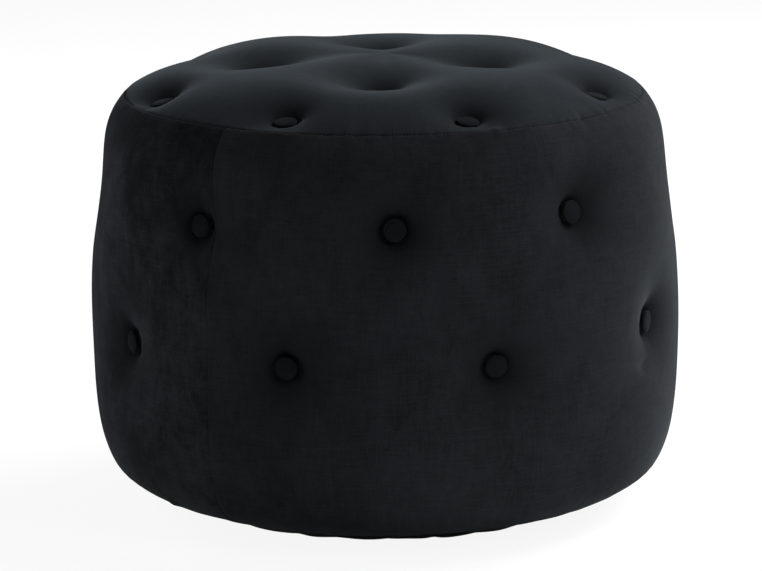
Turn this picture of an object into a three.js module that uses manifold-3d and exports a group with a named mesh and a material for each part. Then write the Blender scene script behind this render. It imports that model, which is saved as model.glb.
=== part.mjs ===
// Round tufted tuffet: velvet over foam on a wooden core.
// Millimetres, +Z up. The origin is on the floor under the middle, and the front faces -Y.
import * as THREE from 'three';
import { mergeVertices } from 'three/addons/utils/BufferGeometryUtils.js';
import Module from 'manifold-3d';

const wasm = await Module();
wasm.setup();

// Fits: the gap left between pieces that touch, and how far cuts run past a face
const fit = 0.3;
const overrun = 5;

// Stuffed drum: its widest ring, the seam round its top and the rise of its crown
const bellyRadius = 312;
const bellyHeight = 225;
const seamHeight = 420;
const seamInset = 48;
const crownRise = 37;
const crownPowerShare = 5.2;

// Velvet, and the hem that is turned under the base
const velvetThickness = 1.5;
const hemWidth = 22;
const sideSeamAngle = 324.4;

// Wooden core: the boards' edges lie inside the widest ring and the top seam
const boardThickness = 12;
const baseInset = 100;
const deckInset = 20;
const topFoamEdge = 23;
const postWidth = 34;
const postCount = 4;
const wrapThickness = 3;
const wrapRise = 3;
const coreRoundSides = 48;

// Underside
const glideHeight = 6;
const glideRadius = 12;
const glideEdge = 2;
const glideInset = 44;
const glideNailRadius = 1.6;
const glideNailLength = 14;
const glideCount = 4;
const glideSides = 10;
const dustThickness = 0.7;
const dustInset = 6;

// Screws that join the boards to the posts
const screwHeadRadius = 4.5;
const screwHeadDepth = 3.5;
const screwRadius = 2.2;
const screwLength = 50;
const screwPoint = 5;
const screwSides = 8;

// Covered buttons, their twine and tie washers
const buttonRadius = 11.3;
const buttonHeight = 7;
const buttonEdgeHeight = 3;
const buttonSides = 10;
const buttonGap = 1.5;
const twineRadius = 1.1;
const twineSides = 8;
const twineHoleSides = 4;
const tieRoom = 6;
const washerRadius = 8;
const washerThickness = 1.5;

// Tufting: how deep each ring is drawn in by a wide bowl and tucked in by the cap, how far that spreads and
// where the ring lies
const buttonPit = 13;
const topHold = 6;
const sideHold = 20;
const tuckReach = 8;
const sidePull = 30;
const sideTuck = 0;
const sideReach = 36;
const sideCurveShare = 0.68;
const innerPull = 15;
const innerTuck = 12;
const innerReach = 44;
const innerCurveShare = 1.58;
const outerPull = 7.6;
const outerTuck = 9;
const outerReach = 31.5;
const outerCurveShare = 1.52;
const rowCount = 8;
const upperRowDrop = 89.4;
const lowerRow = 187;
const innerCount = 4;
const innerRing = 125;
const outerRingInset = 29;

// Buttons off their even places, by number: turn by a share of a sector, lift or reach by one of the row gap
const upperDriftShares = { 1: [0.081, 0.022], 2: [-0.206, 0.047], 8: [0.248, -0.028] };
const lowerDriftShares = { 1: [-0.027, 0.022], 2: [-0.058, 0.09], 7: [0.218, -0.007], 8: [0.118, 0.026] };
const innerDriftShares = { 1: [-0.093, -0.045], 2: [-0.444, -0.195], 3: [0.116, -0.118], 4: [0.102, 0] };
const outerDriftShares = { 1: [-0.105, 0.043], 2: [-0.024, -0.002], 7: [-0.054, 0.07], 8: [-0.07, 0.042] };

// Outline of the side, as shares from the hem up to the belly and from the seam down to the belly
const lowerOutlineShares = [
  [0, 0], [0.022, 0.31], [0.063, 0.54], [0.118, 0.715], [0.25, 0.845], [0.45, 0.93], [0.72, 0.977],
];
const upperOutlineShares = [[0, 0], [0.085, 0.39], [0.18, 0.635], [0.39, 0.837], [0.62, 0.973]];

// Grid of the skin: the columns and rows next to a button, and how far a drift spreads
const besideButtonAngle = 6;
const besideButton = 24;
const driftSpread = 45;
const outlineSteps = 160;
const lowerRowShares = [0.055, 0.18, 0.42];

// Places that follow from the sizes above
const seamRadius = bellyRadius - seamInset;
const baseRadius = bellyRadius - baseInset;
const deckRadius = seamRadius - deckInset;
const outerRing = seamRadius - outerRingInset;
const upperRow = seamHeight - upperRowDrop;
const sectorCount = 2 * rowCount;
const sectorAngle = 360 / sectorCount;
const hemHeight = glideHeight + fit + dustThickness + fit;
const hemBendRadius = baseRadius + fit;
const baseBottom = hemHeight + velvetThickness + 2 * fit;
const baseTop = baseBottom + boardThickness;
const deckTop = seamHeight - topFoamEdge;
const deckBottom = deckTop - boardThickness;
const wrapInner = baseRadius + fit;
const wrapOuter = wrapInner + wrapThickness;
const wrapBottom = baseBottom + wrapRise;
const foamInset = velvetThickness + fit;
const postRing = Math.sqrt(baseRadius ** 2 - (postWidth / 2) ** 2) - postWidth / 2;
const postAngles = evenly(postCount, sectorAngle / 2);

// Finishes
const velvet = finish('velvet', [0.11, 0.12, 0.13], 0.9, 0);
const foam = finish('foam', [0.86, 0.82, 0.66], 0.95, 0);
const plywood = finish('plywood', [0.72, 0.56, 0.38], 0.7, 0);
const softwood = finish('softwood', [0.8, 0.66, 0.46], 0.7, 0);
const hardboard = finish('hardboard', [0.38, 0.26, 0.16], 0.8, 0);
const dustCloth = finish('dust_cloth', [0.05, 0.045, 0.04], 0.95, 0);
const plastic = finish('plastic', [0.05, 0.05, 0.05], 0.5, 0);
const steel = finish('steel', [0.7, 0.68, 0.6], 0.35, 1);

function finish(name, colour, roughness, metalness) {
  return new THREE.MeshStandardMaterial({ name, color: new THREE.Color(...colour), roughness, metalness });
}

// Angles of a count of places spread evenly round the axis
function evenly(count, first) {
  return [...Array(count).keys()].map((index) => first + index * 360 / count);
}

// A point by its distance from the axis, its angle from the front towards +X, and its height
function around(radius, angle, height) {
  const turn = THREE.MathUtils.degToRad(angle);
  return new THREE.Vector3(radius * Math.sin(turn), -radius * Math.cos(turn), height);
}

// Outline of the side skin as close points from the hem bend up to the seam
function sideOutline() {
  const points = lowerOutlineShares.map(([rise, width]) => new THREE.Vector3(
    THREE.MathUtils.lerp(hemBendRadius, bellyRadius, width),
    0,
    THREE.MathUtils.lerp(hemHeight, bellyHeight, rise),
  ));
  points.push(new THREE.Vector3(bellyRadius, 0, bellyHeight));
  for (const [fall, width] of [...upperOutlineShares].reverse()) {
    points.push(new THREE.Vector3(
      THREE.MathUtils.lerp(seamRadius, bellyRadius, width),
      0,
      THREE.MathUtils.lerp(seamHeight, bellyHeight, fall),
    ));
  }
  return new THREE.CatmullRomCurve3(points, false, 'centripetal').getPoints(outlineSteps);
}

const outline = sideOutline();

// Height of the full crown, and the way its skin faces, at a distance from the axis
function crownAt(radius) {
  const share = Math.min(radius / seamRadius, 1);
  const slope = crownRise * crownPowerShare * share ** (crownPowerShare - 1) / seamRadius;
  const height = seamHeight + crownRise * (1 - share ** crownPowerShare);
  return { height, facing: new THREE.Vector2(slope, 1).normalize() };
}

// Radius of the full side, and the way its skin faces, at a height
function sideAt(height) {
  let step = 0;
  while (step < outline.length - 2 && outline[step + 1].z < height) step += 1;
  const below = outline[step];
  const above = outline[step + 1];
  const share = (height - below.z) / (above.z - below.z);
  const radius = THREE.MathUtils.lerp(below.x, above.x, share);
  return { radius, facing: new THREE.Vector2(above.z - below.z, below.x - above.x).normalize() };
}

// At the seam both skins face the same way, so their edges meet in a mitre
const seamFacing = sideAt(seamHeight).facing.add(crownAt(seamRadius).facing).normalize();

const sideDraw = { pull: sidePull, tuck: sideTuck, reach: sideReach, curve: sideCurveShare };
const innerDraw = { pull: innerPull, tuck: innerTuck, reach: innerReach, curve: innerCurveShare };
const outerDraw = { pull: outerPull, tuck: outerTuck, reach: outerReach, curve: outerCurveShare };

// Buttons: each one's place on the full skin, the way the skin faces there, and the way its twine runs
function sideButton(name, angle, height) {
  const { radius, facing } = sideAt(height);
  const way = around(facing.x, angle, facing.y);
  const twineWay = around(1, angle, 0);
  return { name, place: around(radius, angle, height), way, lean: way, twineWay, ...sideDraw };
}

// A top button's cap leans halfway between the skin and its twine, which runs straight down
function topButton(name, angle, radius, draw) {
  const { height, facing } = crownAt(radius);
  const way = around(facing.x, angle, facing.y);
  const twineWay = around(0, 0, 1);
  const lean = way.clone().add(twineWay).normalize();
  return { name, place: around(radius, angle, height), way, lean, twineWay, ...draw };
}

const sideDrifts = [];

function sideRow(name, firstAngle, height, driftShares) {
  return evenly(rowCount, firstAngle).map((angle, index) => {
    const [turnShare, liftShare] = driftShares[index + 1] ?? [0, 0];
    const turn = turnShare * sectorAngle;
    const lift = liftShare * (upperRow - lowerRow);
    sideDrifts.push({ angle, height, turn, lift });
    return sideButton(`${name}_${index + 1}`, angle + turn, height + lift);
  });
}

const topDrifts = [];

function topRing(name, angles, radius, driftShares, draw) {
  return angles.map((angle, index) => {
    const [turnShare, outShare] = driftShares[index + 1] ?? [0, 0];
    const turn = turnShare * sectorAngle;
    const out = outShare * (outerRing - innerRing);
    topDrifts.push({ angle, radius, turn, out });
    return topButton(`${name}_${index + 1}`, angle + turn, radius + out, draw);
  });
}

const sideButtons = [
  ...sideRow('button_side_upper', 0, upperRow, upperDriftShares),
  ...sideRow('button_side_lower', sectorAngle, lowerRow, lowerDriftShares),
];
const innerAngles = evenly(innerCount, 0);
const outerAngles = evenly(rowCount, sectorAngle);
const topButtons = [
  ...topRing('button_top_inner', innerAngles, innerRing, innerDriftShares, innerDraw),
  ...topRing('button_top_outer', outerAngles, outerRing, outerDriftShares, outerDraw),
];

// How far the buttons draw the skin in: fully under a cap, with a pit behind it, steeply by its edge and then
// in a wide bowl that fades away
function drawnIn(place, buttons) {
  let depth = 0;
  for (const button of buttons) {
    const distance = place.distanceTo(button.place);
    const beyond = Math.max(distance - buttonRadius, 0);
    depth += button.pull * Math.exp(-((beyond / button.reach) ** button.curve));
    depth += button.tuck * Math.exp(-beyond / tuckReach);
    depth += buttonPit * Math.max(1 - distance / buttonRadius, 0);
  }
  return depth;
}

// A point of the skin, set in by the thickness of what lies over it; level tells its row from the next
function skinPoint(place, way, depth, inset, level) {
  const point = place.clone().addScaledVector(way, -(depth + inset));
  return Object.assign(point, { depth, level });
}

function spread(distance) {
  return Math.exp(-((distance / driftSpread) ** 2));
}

// Side skin at an even angle and height, moved along with the buttons that lie off their even places, and held
// where it is sewn to the top
function sidePoint(angle, height, inset) {
  const even = around(sideAt(height).radius, angle, height);
  let turn = 0;
  let lift = 0;
  for (const drift of sideDrifts) {
    const near = spread(even.distanceTo(around(sideAt(drift.height).radius, drift.angle, drift.height)));
    turn += seamAngles.includes(angle) ? 0 : near * drift.turn;
    lift += near * drift.lift;
  }
  const moved = height + lift;
  const { radius, facing } = sideAt(moved);
  const place = around(radius, angle + turn, moved);
  const way = around(facing.x, angle + turn, facing.y);
  const hold = 1 - Math.exp(-(seamHeight - moved) / sideHold);
  return skinPoint(place, way, hold * drawnIn(place, sideButtons), inset, height);
}

// Top skin at an even angle and radius, held where it is sewn to the side
function topPoint(angle, radius, inset) {
  const even = around(radius, angle, seamHeight);
  let turn = 0;
  let out = 0;
  for (const drift of topDrifts) {
    const near = spread(even.distanceTo(around(drift.radius, drift.angle, seamHeight)));
    turn += near * drift.turn;
    out += near * drift.out;
  }
  const moved = Math.max(radius + out, 0);
  const { height, facing } = crownAt(moved);
  const place = around(moved, angle + turn, height);
  const hold = 1 - Math.exp(-(seamRadius - moved) / topHold);
  const way = around(facing.x, angle + turn, facing.y);
  return skinPoint(place, way, hold * drawnIn(place, topButtons), inset, -radius);
}

// Edge of either skin at the seam: side is 1 for the side band's edge and -1 for the top's
function seamPoint(angle, side, inset) {
  const radius = seamRadius + side * seamFacing.y * fit / 2;
  const height = seamHeight - side * seamFacing.x * fit / 2;
  const way = around(seamFacing.x, angle, seamFacing.y);
  return skinPoint(around(radius, angle, height), way, 0, inset, side > 0 ? seamHeight : -seamRadius);
}

// Columns of the skin's grid: one through each button, one on each side of it, and one at each side seam
const seamAngles = [(sideSeamAngle + 180) % 360, sideSeamAngle];

function gridAngles() {
  const angles = [];
  for (let sector = 0; sector < sectorCount; sector += 1) {
    const start = sector * sectorAngle;
    angles.push(start, start + besideButtonAngle, start + sectorAngle - besideButtonAngle);
  }
  for (const seam of seamAngles) {
    const gaps = angles.map((angle) => Math.abs(angle - seam));
    angles[gaps.indexOf(Math.min(...gaps))] = seam;
  }
  return angles;
}

const columns = gridAngles();
const halfColumns = columns.filter((angle, index) => index % 2 === 0);
const widestColumn = Math.max(...columns.map((angle, index) => (columns[index + 1] ?? 360) - angle));

// Radius of a ring of columns whose flats stay clear of a round piece inside it
function clearOf(radius) {
  return (radius + fit) / Math.cos(THREE.MathUtils.degToRad(widestColumn / 2));
}

// Rows of the side's grid from the first bend above the hem to just under the seam
const sideRows = [
  ...lowerRowShares.map((rise) => THREE.MathUtils.lerp(hemHeight, bellyHeight, rise)),
  lowerRow - besideButton,
  lowerRow,
  lowerRow + besideButton,
  (lowerRow + upperRow) / 2,
  upperRow - besideButton,
  upperRow,
  upperRow + besideButton,
  (upperRow + besideButton + deckTop) / 2,
];
const foamSplit = deckTop + fit;
const shoulderRow = (foamSplit + seamHeight) / 2;

// Rings of the top's grid from the middle out
const halfRings = [innerRing / 2, innerRing - besideButton, innerRing, innerRing + besideButton];
const fullRings = [
  (innerRing + outerRing) / 2,
  outerRing - besideButton,
  outerRing,
  (outerRing + seamRadius) / 2,
];

// A net of points and faces that grows row by row into a closed shape
class Net {
  constructor() {
    this.points = [];
    this.faces = [];
  }

  row(points) {
    const first = this.points.length;
    this.points.push(...points);
    return points.map((point, index) => first + index);
  }

  // Faces between two rows, where one may have twice the points of the other
  bridge(first, second, closed = true) {
    const short = Math.min(first.length, second.length);
    const firstStep = Math.round(first.length / short);
    const secondStep = Math.round(second.length / short);
    const spans = closed ? short : short - 1;
    for (let span = 0; span < spans; span += 1) {
      const low = (step) => first[(span * firstStep + step) % first.length];
      const high = (step) => second[(span * secondStep + step) % second.length];
      if (firstStep === 2) {
        this.faces.push([low(0), low(1), high(0)], [low(1), high(1), high(0)], [low(1), low(2), high(1)]);
      } else if (secondStep === 2) {
        this.faces.push([low(0), high(1), high(0)], [low(0), low(1), high(1)], [low(1), high(2), high(1)]);
      } else {
        this.quad(low(0), low(1), high(1), high(0));
      }
    }
  }

  // A quad is split through its deepest corner, so each dimple is a star of faces, alike in every layer
  quad(a, b, c, d) {
    const [depthA, depthB, depthC, depthD] = [a, b, c, d].map((index) => this.points[index].depth ?? 0);
    const lean = Math.max(depthA, depthC) - Math.max(depthB, depthD);
    const rising = (this.points[d].level ?? 0) > (this.points[a].level ?? 0);
    if (lean > 0 || (lean === 0 && rising)) this.faces.push([a, b, c], [a, c, d]);
    else this.faces.push([a, b, d], [b, c, d]);
  }

  fanFrom(centre, row) {
    row.forEach((index, place) => this.faces.push([centre, row[(place + 1) % row.length], index]));
  }

  fanTo(row, centre) {
    row.forEach((index, place) => this.faces.push([index, row[(place + 1) % row.length], centre]));
  }

  geometry() {
    const shape = new THREE.BufferGeometry();
    const places = this.points.flatMap((point) => point.toArray());
    shape.setAttribute('position', new THREE.Float32BufferAttribute(places, 3));
    shape.setIndex(this.faces.flat());
    return shape;
  }
}

// Solids for cutting and joining
function solidOf(geometry) {
  const bare = geometry.clone();
  bare.deleteAttribute('normal');
  bare.deleteAttribute('uv');
  const merged = mergeVertices(bare);
  return new wasm.Manifold(new wasm.Mesh({
    numProp: 3,
    vertProperties: Float32Array.from(merged.attributes.position.array),
    triVerts: Uint32Array.from(merged.index.array),
  }));
}

function geometryOf(solid) {
  const { vertProperties, triVerts } = solid.getMesh();
  const shape = new THREE.BufferGeometry();
  shape.setAttribute('position', new THREE.BufferAttribute(vertProperties, 3));
  shape.setIndex(new THREE.BufferAttribute(triVerts, 1));
  return shape;
}

function cutAll(geometry, cutters) {
  const solid = cutters.reduce((left, cutter) => left.subtract(solidOf(cutter)), solidOf(geometry));
  return geometryOf(solid);
}

// A turned piece whose profile runs from the axis round to the axis, standing along +Z
function turned(profile, sides) {
  const points = profile.map(([radius, height]) => new THREE.Vector2(radius, height));
  return new THREE.LatheGeometry(points, sides).rotateX(Math.PI / 2);
}

// A turned piece moved so that its foot is at a place and its axis runs along a way
function turnedAt(profile, sides, place, way) {
  const aim = new THREE.Quaternion().setFromUnitVectors(new THREE.Vector3(0, 0, 1), way.clone().normalize());
  const shape = turned(profile, sides).applyQuaternion(aim);
  return shape.translate(place.x, place.y, place.z);
}

function disc(radius, bottom, top, sides) {
  return turned([[0, bottom], [radius, bottom], [radius, top], [0, top]], sides);
}

// Where a button's cap sits: the middle of the skin that it holds down
function seatOf(button) {
  return button.place.clone().addScaledVector(button.way, -(button.pull + button.tuck));
}

// Length of twine from the seat to the inner face of the board that the washer bears on
function twineLength(button) {
  const seat = seatOf(button);
  if (button.twineWay.z > 0) return seat.z - deckBottom + fit;
  const washerFace = wrapInner * Math.cos(Math.PI / coreRoundSides) - fit;
  return Math.hypot(seat.x, seat.y) - Math.sqrt(washerFace ** 2 - washerRadius ** 2);
}

// Covered button: domed cap, doubled twine and tie washer in one piece
function buttonShape(button) {
  const seat = seatOf(button);
  const edge = buttonGap + buttonEdgeHeight;
  const crest = buttonGap + buttonHeight;
  const cap = turnedAt([
    [0, buttonGap],
    [buttonRadius, buttonGap],
    [buttonRadius, edge],
    [buttonRadius * Math.cos(Math.PI / 4), edge + (crest - edge) * Math.sin(Math.PI / 4)],
    [0, crest],
  ], buttonSides, seat, button.lean);
  const length = twineLength(button);
  const tie = turnedAt([
    [0, -length - washerThickness],
    [washerRadius, -length - washerThickness],
    [washerRadius, -length],
    [twineRadius, -length],
    [twineRadius, buttonEdgeHeight],
    [0, buttonEdgeHeight],
  ], twineSides, seat, button.twineWay);
  return geometryOf(solidOf(cap).add(solidOf(tie)));
}

// Straight hole that clears a button's twine from outside its cap to behind its washer
function twineHole(button) {
  const radius = (twineRadius + fit) / Math.cos(Math.PI / twineHoleSides);
  const reach = twineLength(button) + washerThickness + overrun;
  const profile = [[0, -reach], [radius, -reach], [radius, overrun], [0, overrun]];
  return turnedAt(profile, twineHoleSides, seatOf(button), button.twineWay);
}

// Top cover: one round of velvet from the middle out to the seam
function topCover() {
  const net = new Net();
  const under = [
    ...halfRings.map((radius) => halfColumns.map((angle) => topPoint(angle, radius, velvetThickness))),
    ...fullRings.map((radius) => columns.map((angle) => topPoint(angle, radius, velvetThickness))),
    columns.map((angle) => seamPoint(angle, -1, velvetThickness)),
  ];
  const over = [
    columns.map((angle) => seamPoint(angle, -1, 0)),
    ...[...fullRings].reverse().map((radius) => columns.map((angle) => topPoint(angle, radius, 0))),
    ...[...halfRings].reverse().map((radius) => halfColumns.map((angle) => topPoint(angle, radius, 0))),
  ];
  const rows = [...under, ...over].map((points) => net.row(points));
  net.fanFrom(net.row([topPoint(0, 0, velvetThickness)])[0], rows[0]);
  rows.slice(1).forEach((row, index) => net.bridge(rows[index], row));
  net.fanTo(rows.at(-1), net.row([topPoint(0, 0, 0)])[0]);
  return cutAll(net.geometry(), topButtons.map(twineHole));
}

// Side cover: half the band, from one vertical seam to the other, with its hem turned under
function sideCover(fromSeam, toSeam) {
  const net = new Net();
  const first = columns.indexOf(fromSeam);
  const ordered = [...columns.slice(first), ...columns.slice(0, first)];
  const band = ordered.slice(0, ordered.indexOf(toSeam) + 1);
  const edgeTurn = THREE.MathUtils.radToDeg(fit / 2 / bellyRadius);
  const rowAt = (pointAt) => {
    const points = band.map(pointAt);
    return [turnedBy(points[0], edgeTurn), ...points.slice(1, -1), turnedBy(points.at(-1), -edgeTurn)];
  };
  const skinRows = [...sideRows, foamSplit, shoulderRow];
  const layer = (inset) => [
    rowAt((angle) => around(hemBendRadius - hemWidth, angle, hemHeight + inset)),
    rowAt((angle) => around(hemBendRadius, angle, hemHeight + inset)),
    ...skinRows.map((height) => rowAt((angle) => sidePoint(angle, height, inset))),
    rowAt((angle) => seamPoint(angle, 1, inset)),
  ];
  const outer = layer(0).map((points) => net.row(points));
  const inside = layer(velvetThickness).map((points) => net.row(points));
  const loop = [...outer, ...[...inside].reverse()];
  loop.forEach((row, index) => net.bridge(row, loop[(index + 1) % loop.length], false));
  for (let level = 1; level < outer.length; level += 1) {
    const [low, high] = [outer[level - 1], outer[level]];
    const [lowIn, highIn] = [inside[level - 1], inside[level]];
    net.quad(low[0], high[0], highIn[0], lowIn[0]);
    net.quad(high.at(-1), low.at(-1), lowIn.at(-1), highIn.at(-1));
  }
  return cutAll(net.geometry(), sideButtons.map(twineHole));
}

function turnedBy(point, angle) {
  const moved = point.clone().applyAxisAngle(new THREE.Vector3(0, 0, 1), THREE.MathUtils.degToRad(angle));
  return Object.assign(moved, { depth: point.depth, level: point.level });
}

// Top foam: fills the crown and the shoulder down to the deck board
function topFoam() {
  const net = new Net();
  const crown = (radius, angles) => angles.map((angle) => topPoint(angle, radius, foamInset));
  const rows = [
    columns.map((angle) => sidePoint(angle, foamSplit, foamInset)),
    columns.map((angle) => sidePoint(angle, shoulderRow, foamInset)),
    columns.map((angle) => seamPoint(angle, 0, foamInset)),
    ...[...fullRings].reverse().map((radius) => crown(radius, columns)),
    ...[...halfRings].reverse().map((radius) => crown(radius, halfColumns)),
  ].map((points) => net.row(points));
  const flat = net.row(columns.map((angle) => around(clearOf(deckRadius), angle, foamSplit)));
  net.fanFrom(net.row([around(0, 0, foamSplit)])[0], flat);
  net.bridge(flat, rows[0]);
  rows.slice(1).forEach((row, index) => net.bridge(rows[index], row));
  net.fanTo(rows.at(-1), net.row([topPoint(0, 0, foamInset)])[0]);
  return cutAll(net.geometry(), topButtons.map(twineHole));
}

// Side foam: thick ring round the wrapped core, stepped round the edge of the deck board
function sideFoam() {
  const net = new Net();
  const inner = clearOf(wrapOuter);
  const step = clearOf(deckRadius);
  const ring = (radius, height) => columns.map((angle) => around(radius, angle, height));
  const rows = [
    ...sideRows.map((height) => columns.map((angle) => sidePoint(angle, height, foamInset))),
    columns.map((angle) => lowered(sidePoint(angle, foamSplit, foamInset))),
    ring(step, deckTop),
    ring(step, deckBottom - tieRoom),
    ring(inner, deckBottom - tieRoom),
    ring(inner, wrapBottom),
  ];
  const loop = rows.map((points) => net.row(points));
  loop.forEach((row, index) => net.bridge(row, loop[(index + 1) % loop.length]));
  return cutAll(net.geometry(), sideButtons.map(twineHole));
}

function lowered(point) {
  point.z -= fit;
  return point;
}

// Screws stand in the posts at both ends, head outwards
const screws = postAngles.flatMap((angle, index) => [
  { name: `deck_screw_${index + 1}`, place: around(postRing, angle, deckTop), way: around(0, 0, 1) },
  { name: `base_screw_${index + 1}`, place: around(postRing, angle, baseBottom), way: around(0, 0, -1) },
]);

// Point, shank and countersunk head, with a clearance all round
function screwProfile(clearance) {
  return [
    [0, -screwLength - clearance],
    [screwRadius + clearance, -screwLength + screwPoint - clearance],
    [screwRadius + clearance, -screwHeadDepth - clearance],
    [screwHeadRadius + clearance, -clearance],
  ];
}

function screwShape(screw) {
  return turnedAt([...screwProfile(0), [0, 0]], screwSides, screw.place, screw.way);
}

function screwHole(screw) {
  const profile = [...screwProfile(fit), [screwHeadRadius + fit, overrun], [0, overrun]];
  return turnedAt(profile, screwSides, screw.place, screw.way);
}

// Glides stand under the base board, halfway between the axes, and are nailed up into it
const glides = evenly(glideCount, 180 / glideCount).map((angle, index) => (
  { name: `glide_${index + 1}`, place: around(baseRadius - glideInset, angle, 0) }
));

function nailHole(glide) {
  const radius = (glideNailRadius + fit) / Math.cos(Math.PI / screwSides);
  const top = glideHeight + glideNailLength + fit;
  const profile = [[0, glideHeight], [radius, glideHeight], [radius, top], [0, top]];
  return turnedAt(profile, screwSides, glide.place, new THREE.Vector3(0, 0, 1));
}

// Boards, posts and the wrap that the side buttons are tied to
function baseBoard() {
  const board = disc(baseRadius, baseBottom, baseTop, coreRoundSides);
  const own = screws.filter((screw) => screw.way.z < 0);
  return cutAll(board, [...own.map(screwHole), ...glides.map(nailHole)]);
}

function deckBoard() {
  const board = disc(deckRadius, deckBottom, deckTop, coreRoundSides);
  const own = screws.filter((screw) => screw.way.z > 0);
  return cutAll(board, [...own.map(screwHole), ...topButtons.map(twineHole)]);
}

function post(angle) {
  const height = deckBottom - baseTop - 2 * fit;
  const block = new THREE.BoxGeometry(postWidth, postWidth, height);
  const place = around(postRing, angle, (deckBottom + baseTop) / 2);
  block.rotateZ(THREE.MathUtils.degToRad(angle)).translate(place.x, place.y, place.z);
  const away = (screw) => Math.hypot(screw.place.x - place.x, screw.place.y - place.y);
  const own = screws.filter((screw) => away(screw) < postWidth / 2);
  return cutAll(block, own.map(screwHole));
}

function wallWrap() {
  const top = deckBottom - fit;
  const profile = [[wrapInner, wrapBottom], [wrapOuter, wrapBottom], [wrapOuter, top], [wrapInner, top]];
  const tube = turned([...profile, profile[0]], coreRoundSides);
  return cutAll(tube, sideButtons.map(twineHole));
}

// Underside: dust cover and nail-on glides
function dustCover() {
  const bottom = glideHeight + fit;
  const cloth = disc(baseRadius - dustInset, bottom, bottom + dustThickness, coreRoundSides);
  return cutAll(cloth, glides.map(nailHole));
}

function glideShape(glide) {
  const top = glideHeight + glideNailLength;
  return turnedAt([
    [0, 0],
    [glideRadius - glideEdge, 0],
    [glideRadius, glideEdge],
    [glideRadius, glideHeight],
    [glideNailRadius, glideHeight],
    [glideNailRadius, top - glideNailRadius],
    [0, top],
  ], glideSides, glide.place, new THREE.Vector3(0, 0, 1));
}

// Assembly, from the floor up
const tuffet = new THREE.Group();

function add(name, geometry, material) {
  const mesh = new THREE.Mesh(geometry, material);
  mesh.name = name;
  tuffet.add(mesh);
}

glides.forEach((glide) => add(glide.name, glideShape(glide), plastic));
add('dust_cover', dustCover(), dustCloth);
add('base_board', baseBoard(), plywood);
postAngles.forEach((angle, index) => add(`post_${index + 1}`, post(angle), softwood));
add('deck_board', deckBoard(), plywood);
screws.forEach((screw) => add(screw.name, screwShape(screw), steel));
add('wall_wrap', wallWrap(), hardboard);
add('side_foam', sideFoam(), foam);
add('top_foam', topFoam(), foam);
add('side_cover_front', sideCover(seamAngles[1], seamAngles[0]), velvet);
add('side_cover_back', sideCover(seamAngles[0], seamAngles[1]), velvet);
add('top_cover', topCover(), velvet);
[...sideButtons, ...topButtons].forEach((button) => add(button.name, buttonShape(button), velvet));

export default tuffet;
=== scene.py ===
import math
from collections import namedtuple

import bmesh
import bpy
import numpy as np
from mathutils import Matrix, Vector, noise


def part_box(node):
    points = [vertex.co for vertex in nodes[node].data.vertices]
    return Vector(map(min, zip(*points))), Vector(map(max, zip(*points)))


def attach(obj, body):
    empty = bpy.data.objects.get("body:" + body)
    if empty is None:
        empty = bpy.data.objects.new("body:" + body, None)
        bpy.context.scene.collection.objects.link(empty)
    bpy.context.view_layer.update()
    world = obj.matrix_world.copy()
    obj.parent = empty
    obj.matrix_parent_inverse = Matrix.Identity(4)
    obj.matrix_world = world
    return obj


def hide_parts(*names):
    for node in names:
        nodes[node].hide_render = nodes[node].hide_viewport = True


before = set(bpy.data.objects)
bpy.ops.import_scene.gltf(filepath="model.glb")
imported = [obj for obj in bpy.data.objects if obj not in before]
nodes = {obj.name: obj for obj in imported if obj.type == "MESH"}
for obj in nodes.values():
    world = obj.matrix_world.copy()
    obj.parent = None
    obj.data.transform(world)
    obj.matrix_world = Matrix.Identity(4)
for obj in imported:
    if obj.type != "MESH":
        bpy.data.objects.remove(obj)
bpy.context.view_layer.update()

# Glides: four black nylon feet, each moulded round a nail and driven up through the dust cover.
# They hold the cloth a few millimetres off the floor.
glide_radius = 0.012
glide_height = 0.006
glide_edge = 0.002
glide_nail_radius = 0.0016
glide_steps = 40


class Wire:
    """A shader socket. A sum or product of wires and numbers adds its own Math node."""

    def __init__(self, finish, socket):
        self.finish = finish
        self.socket = socket

    def __add__(self, other):
        return self.finish.maths("ADD", self, other)

    def __sub__(self, other):
        return self.finish.maths("SUBTRACT", self, other)

    def __rsub__(self, other):
        return self.finish.maths("SUBTRACT", other, self)

    def __mul__(self, other):
        return self.finish.maths("MULTIPLY", self, other)

    def __pow__(self, other):
        return self.finish.maths("POWER", self, other)

    def __gt__(self, other):
        return self.finish.maths("GREATER_THAN", self, other)

    def __lt__(self, other):
        return self.finish.maths("LESS_THAN", self, other)

    __radd__ = __add__
    __rmul__ = __mul__


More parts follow.
